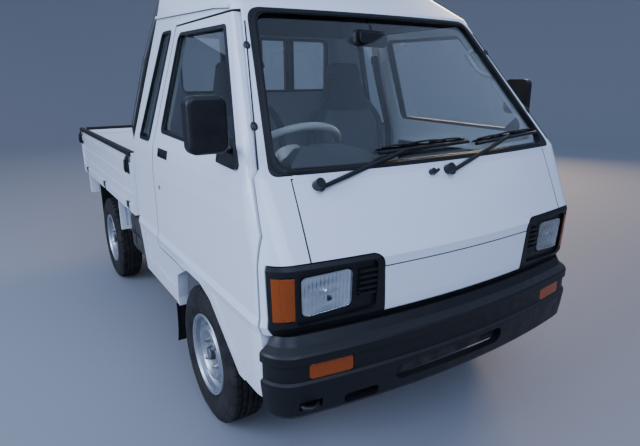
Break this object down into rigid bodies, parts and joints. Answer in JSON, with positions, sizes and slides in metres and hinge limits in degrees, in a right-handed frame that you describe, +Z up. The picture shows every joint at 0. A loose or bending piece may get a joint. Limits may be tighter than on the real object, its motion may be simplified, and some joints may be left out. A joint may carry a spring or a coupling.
{
  "type": "cab-over kei truck with a drop-sided load bed",
  "caption": "Small cab-over light truck with a high-roof cab, hinged doors, a drop-sided flat bed with a guard frame, steered front wheels and leaf-sprung rear axle.",
  "frame": {"origin": "on the ground, at mid-width and mid-length", "axes": "+Z up, the front faces -Y, the driver's side is -X, +Y runs along the length to the tail"},
  "size_m": [1.6304, 3.195, 1.84],
  "materials": {
    "white_paint": "gloss",
    "black_chassis_paint": "satin",
    "black_paint": "satin",
    "black_plastic": "moulded, fine grain",
    "grey_plastic": "moulded, grained",
    "grey_vinyl": "grained vinyl",
    "black_rubber": "matt",
    "tyre_rubber": "matt",
    "silver_wheel_paint": "metallic silver",
    "cast_metal": "as cast",
    "bare_steel": "dull",
    "window_glass": "clear",
    "lamp_glass": "fluted, clear",
    "amber_lens": "ribbed, clear amber",
    "red_lens": "ribbed, clear red"
  },
  "bodies": {
    "truck": {"chassis_frame": "black_chassis_paint", "front_crossmember": "black_chassis_paint", "steering_rack": "black_chassis_paint", "engine_block": "cast_metal", "propeller_shaft": "bare_steel", "rear_axle": "black_chassis_paint", "leaf_springs": "black_chassis_paint", "fuel_tank": "black_chassis_paint", "exhaust": "bare_steel", "cab_floor": "white_paint", "cab_front": "white_paint", "cab_rear": "white_paint", "cab_roof": "white_paint", "front_panels": "white_paint", "lamp_bezels": "black_plastic", "head_lamps": "lamp_glass", "turn_lamps": "amber_lens", "front_bumper": "black_plastic", "cab_glass": "window_glass", "window_seals": "black_rubber", "wipers": "black_paint", "dashboard": "grey_plastic", "seats": "grey_vinyl", "steering_column": "grey_plastic", "bed_floor": "white_paint", "guard_frame": "black_paint", "tail_lamps": "red_lens", "mud_flaps": "black_rubber"},
    "steering_wheel": {"steering_wheel": "grey_plastic"},
    "tail_gate": {"tail_gate": "white_paint"},
    "knuckle_left": {"knuckle_left": "cast_metal"},
    "tie_rod_left": {"tie_rod_left": "bare_steel"},
    "door_left": {"door_left": "white_paint", "door_glass_left": "window_glass", "door_trim_left": "black_plastic"},
    "side_gate_left": {"side_gate_left": "white_paint"},
    "wheel_front_left": {"tyre_front_left": "tyre_rubber", "rim_front_left": "silver_wheel_paint"},
    "wheel_rear_left": {"tyre_rear_left": "tyre_rubber", "rim_rear_left": "silver_wheel_paint"},
    "knuckle_right": {"knuckle_right": "cast_metal"},
    "tie_rod_right": {"tie_rod_right": "bare_steel"},
    "door_right": {"door_right": "white_paint", "door_glass_right": "window_glass", "door_trim_right": "black_plastic"},
    "side_gate_right": {"side_gate_right": "white_paint"},
    "wheel_front_right": {"tyre_front_right": "tyre_rubber", "rim_front_right": "silver_wheel_paint"},
    "wheel_rear_right": {"tyre_rear_right": "tyre_rubber", "rim_rear_right": "silver_wheel_paint"}
  },
  "joints": [
    {"name": "steering", "type": "hinge", "parent": "truck", "child": "steering_wheel", "pos_m": [-0.395, -1.105, 1.052], "axis": [0, 0.5878, 0.809], "range_deg": [-540, 540]},
    {"name": "steer_left", "type": "hinge", "parent": "truck", "child": "knuckle_left", "pos_m": [0.556, -0.9075, 0.19], "axis": [-0.2079, 0, 0.9781], "range_deg": [-30.5, 30.5]},
    {"name": "tie_rod_left_ball", "type": "hinge", "parent": "knuckle_left", "child": "tie_rod_left", "pos_m": [0.511, -0.7925, 0.236], "axis": [-0.2079, 0, 0.9781], "range_deg": [-30.5, 30.5]},
    {"name": "door_left", "type": "hinge", "parent": "truck", "child": "door_left", "pos_m": [0.682, -1.4375, 0.85], "axis": [0.0523, 0, -0.9986], "range_deg": [0, 70]},
    {"name": "side_gate_left", "type": "hinge", "parent": "truck", "child": "side_gate_left", "pos_m": [0.692, 0.78, 0.65], "axis": [0, 1, 0], "range_deg": [0, 178]},
    {"name": "wheel_front_left_spin", "type": "hinge", "parent": "knuckle_left", "child": "wheel_front_left", "pos_m": [0.605, -0.9075, 0.271], "axis": [1, 0, 0], "continuous": true},
    {"name": "wheel_rear_left_spin", "type": "hinge", "parent": "truck", "child": "wheel_rear_left", "pos_m": [0.605, 0.9025, 0.271], "axis": [1, 0, 0], "continuous": true},
    {"name": "steer_right", "type": "hinge", "parent": "truck", "child": "knuckle_right", "pos_m": [-0.556, -0.9075, 0.19], "axis": [0.2079, 0, 0.9781], "range_deg": [-30.5, 30.5]},
    {"name": "tie_rod_right_ball", "type": "hinge", "parent": "knuckle_right", "child": "tie_rod_right", "pos_m": [-0.511, -0.7925, 0.236], "axis": [0.2079, 0, 0.9781], "range_deg": [-30.5, 30.5]},
    {"name": "door_right", "type": "hinge", "parent": "truck", "child": "door_right", "pos_m": [-0.682, -1.4375, 0.85], "axis": [0.0523, 0, 0.9986], "range_deg": [0, 70]},
    {"name": "side_gate_right", "type": "hinge", "parent": "truck", "child": "side_gate_right", "pos_m": [-0.692, 0.78, 0.65], "axis": [0, -1, 0], "range_deg": [0, 178]},
    {"name": "wheel_front_right_spin", "type": "hinge", "parent": "knuckle_right", "child": "wheel_front_right", "pos_m": [-0.605, -0.9075, 0.271], "axis": [1, 0, 0], "continuous": true},
    {"name": "wheel_rear_right_spin", "type": "hinge", "parent": "truck", "child": "wheel_rear_right", "pos_m": [-0.605, 0.9025, 0.271], "axis": [1, 0, 0], "continuous": true},
    {"name": "tail_gate", "type": "hinge", "parent": "truck", "child": "tail_gate", "pos_m": [0, 1.592, 0.65], "axis": [-1, 0, 0], "range_deg": [0, 178]}
  ],
  "couplings": [
    {"joint": "steer_left", "follows": "steering", "ratio": 0.055556},
    {"joint": "tie_rod_left_ball", "follows": "steering", "ratio": -0.055556},
    {"joint": "steer_right", "follows": "steering", "ratio": 0.055556},
    {"joint": "tie_rod_right_ball", "follows": "steering", "ratio": -0.055556}
  ]
}
